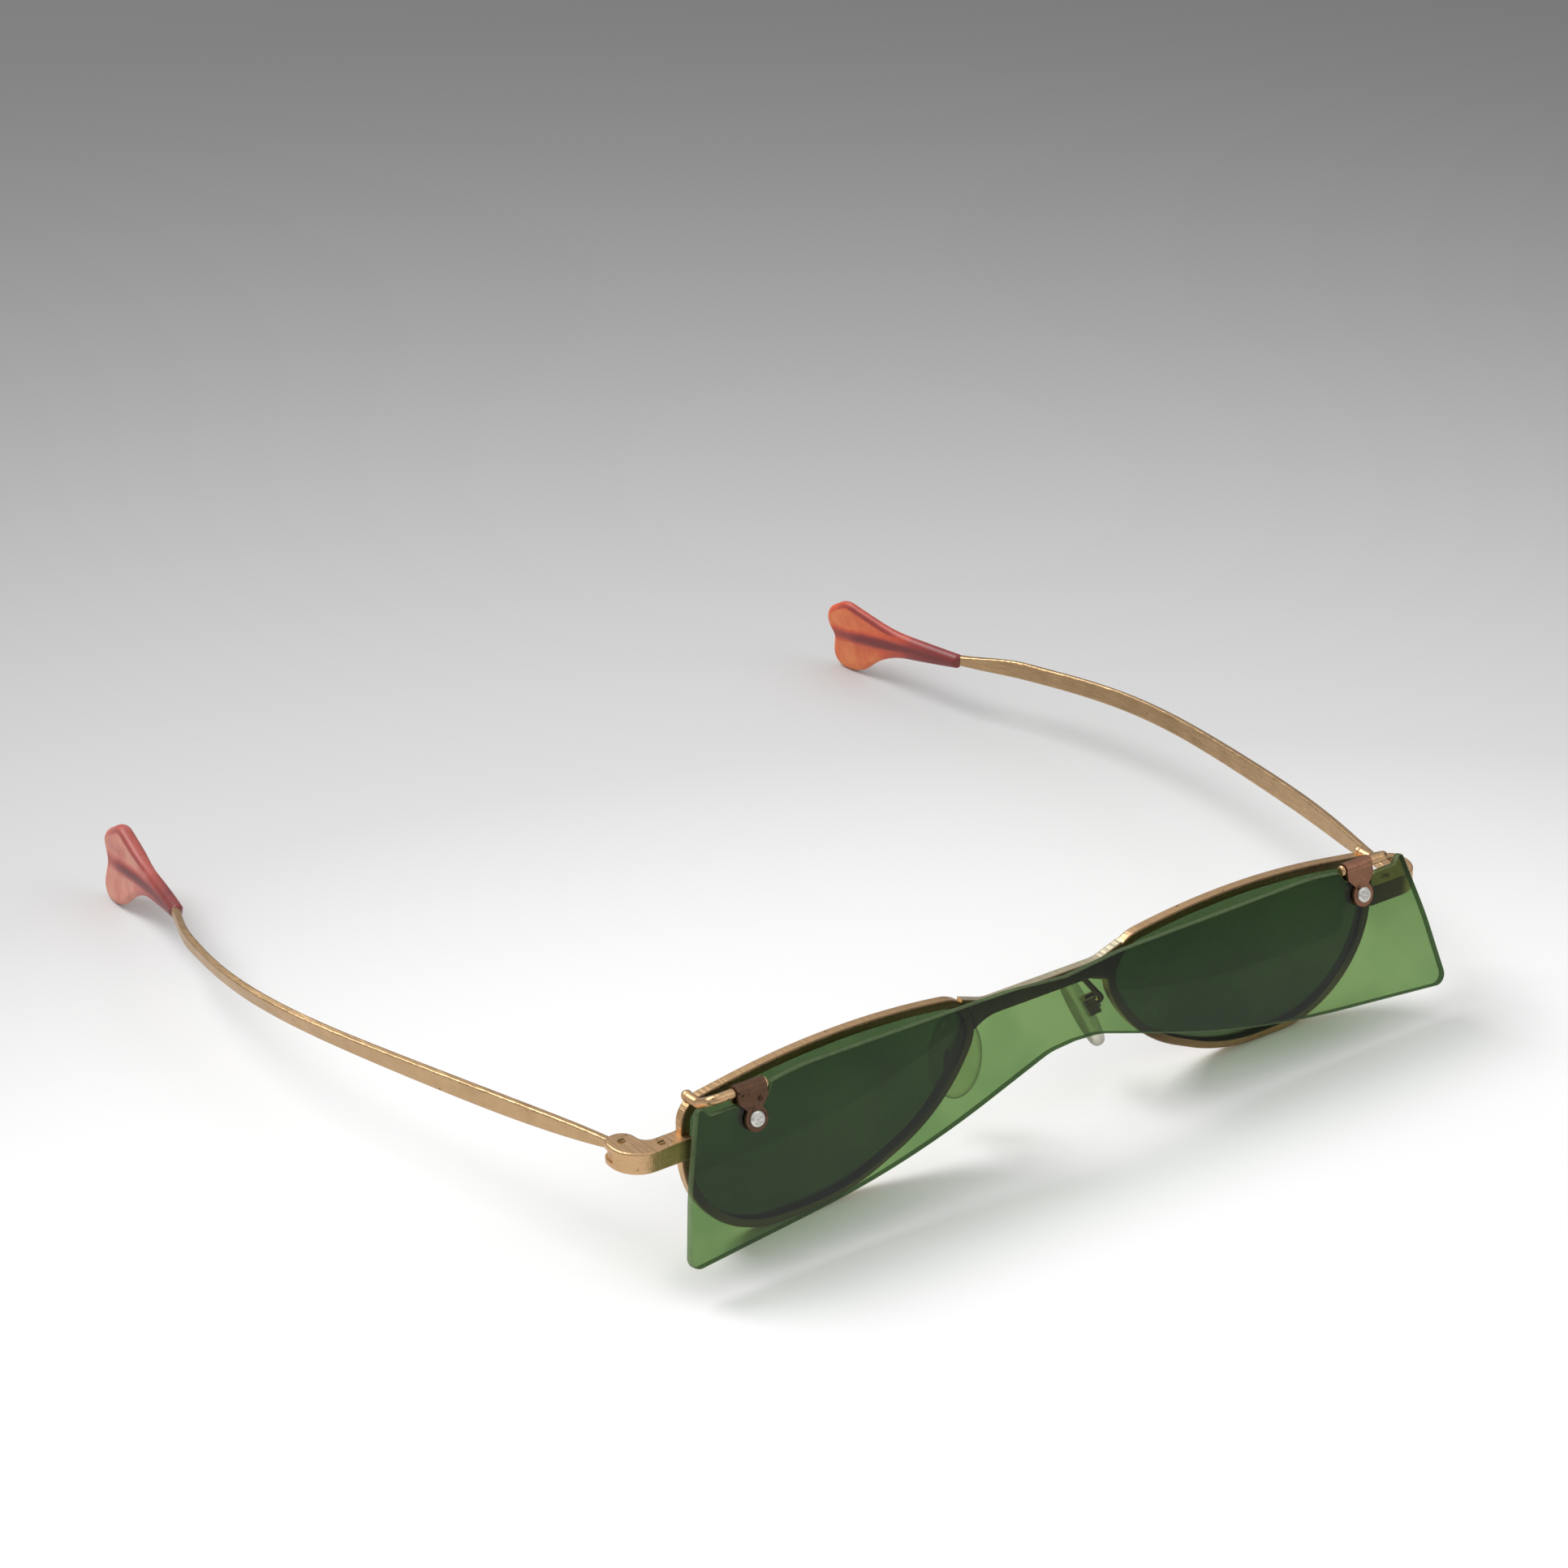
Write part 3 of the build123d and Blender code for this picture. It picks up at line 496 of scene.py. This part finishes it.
def make_tip(side, sizes, material):
    """A tip's paddle. The middle surface is a Coons patch of the rounded outline, bent
    along an arc and leaned inwards, and the skin lies tip_swell to both sides of it. The
    attribute core tells how dark a point is."""
    ring = rounded(TIP_CORNERS)
    closed = np.concatenate([ring, ring[:1]])
    cut = [corner * ARC_STEPS + ARC_STEPS // 2 for corner in TIP_PARTINGS]
    top = closed[cut[0] : cut[1] + 1]
    rear = closed[cut[1] : cut[2] + 1][::-1]
    bottom = closed[cut[2] : cut[3] + 1][::-1]
    mouth = np.concatenate([closed[cut[3] :], closed[: cut[0] + 1]])
    rows, columns = TIP_GRID
    flat = patch(
        resampled(mouth, rows),
        resampled(rear, rows),
        resampled(bottom, columns),
        resampled(top, columns),
    ).reshape(-1, 2)
    back, up = flat.T
    swell = tip_swell(side, sizes.tip_leaf / MM, back, up, distance_to(ring, flat))
    out, slope = tip_bend(back)
    normal = np.stack([np.ones_like(back), -slope, np.full_like(back, TIP_LEAN)], 1)
    normal *= (swell / np.linalg.norm(normal, axis=1))[:, None]
    across = HINGE_OUT + out - (up - TIP_LEVEL) * TIP_LEAN
    middle = np.stack([across, HINGE_Y + back, up], 1)
    points = np.concatenate([middle + normal, middle - normal])
    points[:, 0] *= SIDES[side]
    points[:, 2] = np.maximum(points[:, 2], 0.0)
    inner = grid_faces(rows, columns, offset=len(flat))[:, ::-1]
    faces = np.concatenate([grid_faces(rows, columns), inner])
    tip = new_piece(f"{side}_tip_paddle", points, faces, f"{side}_arm", [material])
    places = np.empty(len(tip.data.vertices) * 3)
    tip.data.vertices.foreach_get("co", places)
    _, back, up = places.reshape(-1, 3).T / MM
    back -= HINGE_Y
    core = darkness(back, up, distance_to(ring, np.stack([back, up], 1)))
    attribute = tip.data.attributes.new("core", "FLOAT", "POINT")
    attribute.data.foreach_set("value", core.astype(np.float32))
    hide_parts(f"{side}_temple_tip")


def make_shield(sizes, sheet, cut_edge):
    """The flip-up sheet. Its outline is drawn in by r (1 - cos a) as its height rises by
    r sin a, a quarter turn at each face, and each face is closed flat."""
    half = rounded(SHIELD_CORNERS)[ARC_STEPS - 1 : -ARC_STEPS + 1]
    ring = np.concatenate([half, (half * (-1, 1))[::-1][1:-1]])
    step = np.roll(ring, -1, 0) - np.roll(ring, 1, 0)
    inward = np.stack([step[:, 1], -step[:, 0]], 1)
    inward /= np.linalg.norm(inward, axis=1, keepdims=True)
    thick, radius = sizes.shield_thickness / MM / 2, sizes.shield_edge / MM
    angle = np.linspace(0, np.pi / 2, EDGE_STEPS)
    inset = radius * (1 - np.cos(angle))
    height = thick - radius * (1 - np.sin(angle))
    inset = np.concatenate([inset[::-1], inset])
    height = np.concatenate([height[::-1], -height])
    outlines = ring[None] + inset[:, None, None] * inward[None]
    across, up = outlines[..., 0], outlines[..., 1]
    ahead = np.broadcast_to(height[:, None], across.shape)
    points = np.stack([
        across,
        PIN_Y + up * np.sin(SHIELD_TILT) - ahead * np.cos(SHIELD_TILT),
        PIN_UP + up * np.cos(SHIELD_TILT) + ahead * np.sin(SHIELD_TILT),
    ], 2).reshape(-1, 3)
    levels, count = across.shape
    first = np.arange(levels - 1) * count
    seam = np.stack([first + count - 1, first, first + count, first + 2 * count - 1], 1)
    cap = np.arange(count)
    faces = [*grid_faces(levels, count), *seam, cap, cap[::-1] + (levels - 1) * count]
    materials = [sheet, cut_edge]
    shield = new_piece("flip_shield_sheet", points, faces, "shield", materials)
    polygons = shield.data.polygons
    corners = np.empty(len(polygons), np.int32)
    polygons.foreach_get("loop_total", corners)
    edge = corners == 4
    polygons.foreach_set("material_index", edge.astype(np.int32))
    polygons.foreach_set("use_smooth", edge)
    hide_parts("flip_shield")


# ---- what a user may change ----


class PieceSizes(PropertyGroup):
    """Sizes of the pieces that are made here."""

    tip_leaf: FloatProperty(
        name="Tip leaf", description="Thickness of a tip's lobes",
        default=0.0013, unit="LENGTH",
    )
    shield_thickness: FloatProperty(
        name="Shield", description="Thickness of the flip-up sheet",
        default=0.001, unit="LENGTH",
    )
    shield_edge: FloatProperty(
        name="Shield edge", description="Rounding of the sheet's edge",
        default=0.00018, unit="LENGTH",
    )


def paint(name, code):
    """A colour that a user may change, by name, with its default as a hex code."""
    return FloatVectorProperty(
        name=name, description=f"Colour of the {name.lower()}", default=linear(code),
        size=4, min=0.0, max=1.0, subtype="COLOR",
    )


class PieceColours(PropertyGroup):
    """Colours of the finishes."""

    gold: paint("Gold wire", "DAB68C")
    gold_dull: paint("Rubbed gold wire", "B9946B")
    gold_spot: paint("Specks on the gold wire", "4E3A26")
    # Painted shade on the metal fronts behind the green sheet.
    sheet_shade: paint("Painted shade behind the sheet", "62503A")
    band: paint("Temple bands", "CDAC84")
    band_dull: paint("Rubbed temple bands", "AB8C66")
    bridge: paint("Worn bridge", "D4CBB3")
    bridge_dull: paint("Rubbed bridge", "B8AC8B")
    copper: paint("Copper leaf", "A67B62")
    copper_dull: paint("Darker copper leaf", "7E5745")
    # The near copper leaf: darker copies of the copper colours, a painted shade.
    copper_shade: paint("Copper leaf in painted shade", "7A5D4D")
    copper_shade_dull: paint("Darkest copper leaf", "55402F")
    shield: paint("Green sheet", "7A9B5C")
    shield_cloud: paint("Clouds in the green sheet", "688C50")
    lens: paint("Lens", "485E3C")
    lens_cloud: paint("Clouds in the lens", "405435")
    tip_pale: paint("Palest tip", "E58A52")
    tip: paint("Tip", "D55A38")
    tip_core: paint("Tip over its core", "7A302F")
    # The near tip's colours, paler and pinker than the far tip's.
    rose_pale: paint("Palest pink tip", "D2947C")
    rose: paint("Pink tip", "C06C62")
    rose_core: paint("Pink tip over its core", "6C282A")
    pad: paint("Nose pads", "F9F7EF")


class StageSizes(PropertyGroup):
    """Where the camera stands, and how strong the lamps are."""

    azimuth: FloatProperty(
        name="Azimuth", description="Camera's turn about the object",
        default=float(np.radians(-36.604)), subtype="ANGLE",
    )
    elevation: FloatProperty(
        name="Elevation", description="Camera's height as an angle",
        default=float(np.radians(26.294)), subtype="ANGLE",
    )
    distance: FloatProperty(
        name="Distance", description="Camera to aim", default=0.64312, unit="LENGTH"
    )
    lens: FloatProperty(
        name="Lens", description="Focal length", default=122.06, unit="CAMERA"
    )
    key_power: FloatProperty(
        name="Key", description="Power of the key lamp", default=9.0, unit="POWER"
    )
    front_power: FloatProperty(
        name="Front", description="Power of the front lamp", default=2.2, unit="POWER"
    )
    aim: FloatVectorProperty(
        name="Aim", description="Middle of the picture",
        default=(-0.040807, RIMS_Y, 0.060914), unit="LENGTH",
    )


# ---- pieces ----


class SUNGLASSES_OT_metal(Operator):
    """Give the metal pieces their finishes"""

    bl_idname = "sunglasses.metal"
    bl_label = "Metal pieces"

    def execute(self, context):
        colours = context.scene.sunglasses_colours
        # Rolled gold on drawn wire: satin gold, browned in clouds where hands have been,
        # with painted shade on its fronts behind the sheet.
        gold = worn_metal(
            "rolled_gold_wire", colours.gold, colours.gold_dull, colours.gold_spot, 0.36,
            sheet_shade=colours.sheet_shade,
        )
        dress(gold, *both("rim", "pad_arm", "pad_box", "endpiece_upper", "endpiece_lower"))
        # The same wire on the hooks that lift the sheet, left without the painted shade.
        hook = worn_metal(
            "hook_gold_wire", colours.gold, colours.gold_dull, colours.gold_spot, 0.36
        )
        dress(hook, *both("shield_hook"))
        # Rolled gold on a flattened band: broader and paler gleams than on the wire.
        band = worn_metal(
            "rolled_gold_band", colours.band, colours.band_dull, linear("6A5030"), 0.38,
            spots_over=0.64,
        )
        dress(band, *both("temple"))
        # Nickel silver whose gold has worn off: pale, nearly white where it faces up.
        # Its fronts behind the sheet get the same painted shade.
        pale = worn_metal(
            "worn_nickel_gold", colours.bridge, colours.bridge_dull, linear("8C7A55"), 0.4,
            spots_over=0.66, sheet_shade=colours.sheet_shade,
        )
        dress(pale, "bridge")
        # Bent copper sheet: the far leaf is rubbed to a warm brown; the near one is painted
        # darker, a painted shade for the shadow it lies in, and is duller.
        copper = worn_metal(
            "rubbed_copper", colours.copper, colours.copper_dull, linear("3F2A22"), 0.42,
            spots_over=0.6,
        )
        dress(copper, "left_clip")
        # Painted shade: darker copies of the copper colours on the near leaf.
        dark = worn_metal(
            "shade_painted_copper", colours.copper_shade, colours.copper_shade_dull, linear("2E211B"), 0.5,
            spots_over=0.56,
        )
        dress(dark, "right_clip")
        # Headed aluminium: the white spots of the rivets, bright against the copper.
        rivet = worn_metal(
            "bright_aluminium", linear("E2E0DA"), linear("C6C4BE"), linear("8A8883"), 0.3,
            spots_over=0.7,
        )
        dress(rivet, *both("clip_rivet"))
        # Turned brass: yellower and cleaner than the rolled gold round it.
        screw = worn_metal(
            "turned_brass", linear("BE9F70"), linear("937548"), linear("4C3922"), 0.32
        )
        dress(screw, *both("closing_screw", "hinge_screw"))
        return {"FINISHED"}


class SUNGLASSES_OT_plastics(Operator):
    """Give the lenses, the shield, the tips and the pads their finishes"""

    bl_idname = "sunglasses.plastics"
    bl_label = "Clear and coloured pieces"

    def execute(self, context):
        sizes, colours = context.scene.sunglasses_pieces, context.scene.sunglasses_colours
        # Polished celluloid: yellow-green and clear, nearly black over the dark lenses.
        sheet = tinted_sheet("green_celluloid", colours.shield, colours.shield_cloud)
        edge = cut_celluloid("cut_green_celluloid", linear("6F8256"), linear("3C4A2C"))
        make_shield(sizes, sheet, edge)
        # Ground and polished glass: a deep blue-green with a soft mirror.
        glass = tinted_sheet("tinted_lens_glass", colours.lens, colours.lens_cloud)
        dress(glass, *both("lens"))
        dress(pad_plastic("clear_pad_plastic", colours.pad), *both("nose_pad"))
        # The far tip is amber, and the near one is coloured a paler, dusty pink.
        amber = (colours.tip_pale, colours.tip, colours.tip_core)
        make_tip("left", sizes, tortoise("amber_tortoise_plastic", *amber))
        rose = (colours.rose_pale, colours.rose, colours.rose_core)
        make_tip("right", sizes, tortoise("pink_tortoise_plastic", *rose))
        return {"FINISHED"}


# ---- stage, in metres ----

# Middle of the floor's painted pool of light, and the greys of its painted shade at
# distances from there.
FLOOR_LIGHT_POOL = (-0.07, -0.20)
FLOOR_SHADE_GREYS = (
    (0.0, "F4F4F4"), (0.19, "F4F4F4"), (0.27, "CCCCCC"), (0.44, "929292"), (0.62, "707070")
)
FLOOR_REACH = 6.0               # half its width
# Place and width of each soft box: the key high at the back left, a weak one in front.
KEY_PLACE, KEY_WIDTH = (-0.45, 0.55, 0.95), 0.6
FRONT_PLACE, FRONT_WIDTH = (0.5, -0.9, 0.7), 0.8
# The studio light's strength below and above these heights of the direction it comes from.
SKY_HEIGHTS, SKY_STRENGTHS = (-0.1, 0.75), (0.16, 0.85)


class SUNGLASSES_OT_stage(Operator):
    """Set the table, the lamps and the camera"""

    bl_idname = "sunglasses.stage"
    bl_label = "Stage"

    def execute(self, context):
        sizes = context.scene.sunglasses_stage
        place_camera(sizes)
        make_floor()
        add_lamp("key_soft_box", KEY_PLACE, KEY_WIDTH, sizes.key_power)
        add_lamp("front_soft_box", FRONT_PLACE, FRONT_WIDTH, sizes.front_power)
        make_world()
        context.scene.view_settings.view_transform = "Standard"
        return {"FINISHED"}


def place_camera(sizes):
    """The photograph's camera, with a full-frame sensor."""
    camera = bpy.data.objects.new("camera", bpy.data.cameras.new("camera"))
    bpy.context.scene.collection.objects.link(camera)
    level = np.cos(sizes.elevation)
    away = Vector((
        np.sin(sizes.azimuth) * level, -np.cos(sizes.azimuth) * level, np.sin(sizes.elevation)
    ))
    camera.location = Vector(sizes.aim) + away * sizes.distance
    camera.rotation_mode = "QUATERNION"
    camera.rotation_quaternion = away.to_track_quat("Z", "Y")
    camera.data.lens = sizes.lens
    camera.data.sensor_width = 36.0
    camera.data.clip_start, camera.data.clip_end = 0.01, 20.0
    bpy.context.scene.camera = camera


def make_floor():
    """A wide flat sheet of white paper, with a painted pool of light in front and painted shade
    greying gently away from it.
    """
    material, tree, surface = new_material("matt_white_paper")
    place = add_node(tree, "TexCoord").outputs["Object"]
    pool = {0: place, 1: (*FLOOR_LIGHT_POOL, 0.0)}
    away = add_node(tree, "VectorMath", pool, operation="DISTANCE").outputs["Value"]
    stops = [(at, linear(code)) for at, code in FLOOR_SHADE_GREYS]
    # Painted shade: the paper greys with distance from the painted pool of light.
    shade = add_node(tree, "ValToRGB", {"Fac": away}, stops=stops)
    shade.color_ramp.interpolation = "B_SPLINE"
    paper = add_node(tree, "BsdfDiffuse", {"Color": shade.outputs["Color"]})
    tree.links.new(paper.outputs["BSDF"], surface)
    mesh = bpy.data.meshes.new("table")
    signs = ((-1, -1), (1, -1), (1, 1), (-1, 1))
    corners = [(x * FLOOR_REACH, y * FLOOR_REACH, 0.0) for x, y in signs]
    mesh.from_pydata(corners, [], [(0, 1, 2, 3)])
    mesh.materials.append(material)
    floor = bpy.data.objects.new("table", mesh)
    bpy.context.scene.collection.objects.link(floor)


def add_lamp(name, place, width, watts):
    """A square soft box at place, aimed at the origin."""
    light = bpy.data.lights.new(name, "AREA")
    light.shape = "SQUARE"
    light.size = width
    light.energy = watts
    lamp = bpy.data.objects.new(name, light)
    bpy.context.scene.collection.objects.link(lamp)
    lamp.location = place
    lamp.rotation_mode = "QUATERNION"
    lamp.rotation_quaternion = Vector(place).to_track_quat("Z", "Y")


def make_world():
    """Pale studio light all round, stronger from above."""
    world = bpy.data.worlds.new("studio")
    bpy.context.scene.world = world
    world.use_nodes = True
    tree = world.node_tree
    tree.nodes.clear()
    place = add_node(tree, "TexCoord").outputs["Generated"]
    height = add_node(tree, "SeparateXYZ", {"Vector": place}).outputs["Z"]
    level = add_node(
        tree,
        "MapRange",
        {
            "Value": height,
            "From Min": SKY_HEIGHTS[0],
            "From Max": SKY_HEIGHTS[1],
            "To Min": SKY_STRENGTHS[0],
            "To Max": SKY_STRENGTHS[1],
        },
        interpolation_type="SMOOTHSTEP",
    )
    sky = {"Color": linear("F2F2F2"), "Strength": level.outputs["Result"]}
    pale = add_node(tree, "Background", sky)
    output = add_node(tree, "OutputWorld")
    tree.links.new(pale.outputs["Background"], output.inputs["Surface"])


# ---- add-on ----


class SUNGLASSES_PT_panel(Panel):
    """Lists the steps"""

    bl_idname = "SUNGLASSES_PT_panel"
    bl_label = "Sunglasses"
    bl_space_type = "VIEW_3D"
    bl_region_type = "UI"
    bl_category = "Sunglasses"

    def draw(self, context):
        for step in STEPS:
            self.layout.operator(step.bl_idname)
        for group, settings in GROUPS.items():
            for name in settings.__annotations__:
                self.layout.prop(getattr(context.scene, group), name)


STEPS = (SUNGLASSES_OT_metal, SUNGLASSES_OT_plastics, SUNGLASSES_OT_stage)
GROUPS = {
    "sunglasses_pieces": PieceSizes,
    "sunglasses_colours": PieceColours,
    "sunglasses_stage": StageSizes,
}
CLASSES = (*GROUPS.values(), *STEPS, SUNGLASSES_PT_panel)


def register():
    for cls in CLASSES:
        bpy.utils.register_class(cls)
    for group, settings in GROUPS.items():
        setattr(bpy.types.Scene, group, PointerProperty(type=settings))


def unregister():
    for group in GROUPS:
        delattr(bpy.types.Scene, group)
    for cls in reversed(CLASSES):
        bpy.utils.unregister_class(cls)


def main():
    """Registers the add-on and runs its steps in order."""
    register()
    for step in STEPS:
        group, name = step.bl_idname.split(".")
        getattr(getattr(bpy.ops, group), name)()


if __name__ == "__main__":
    main()
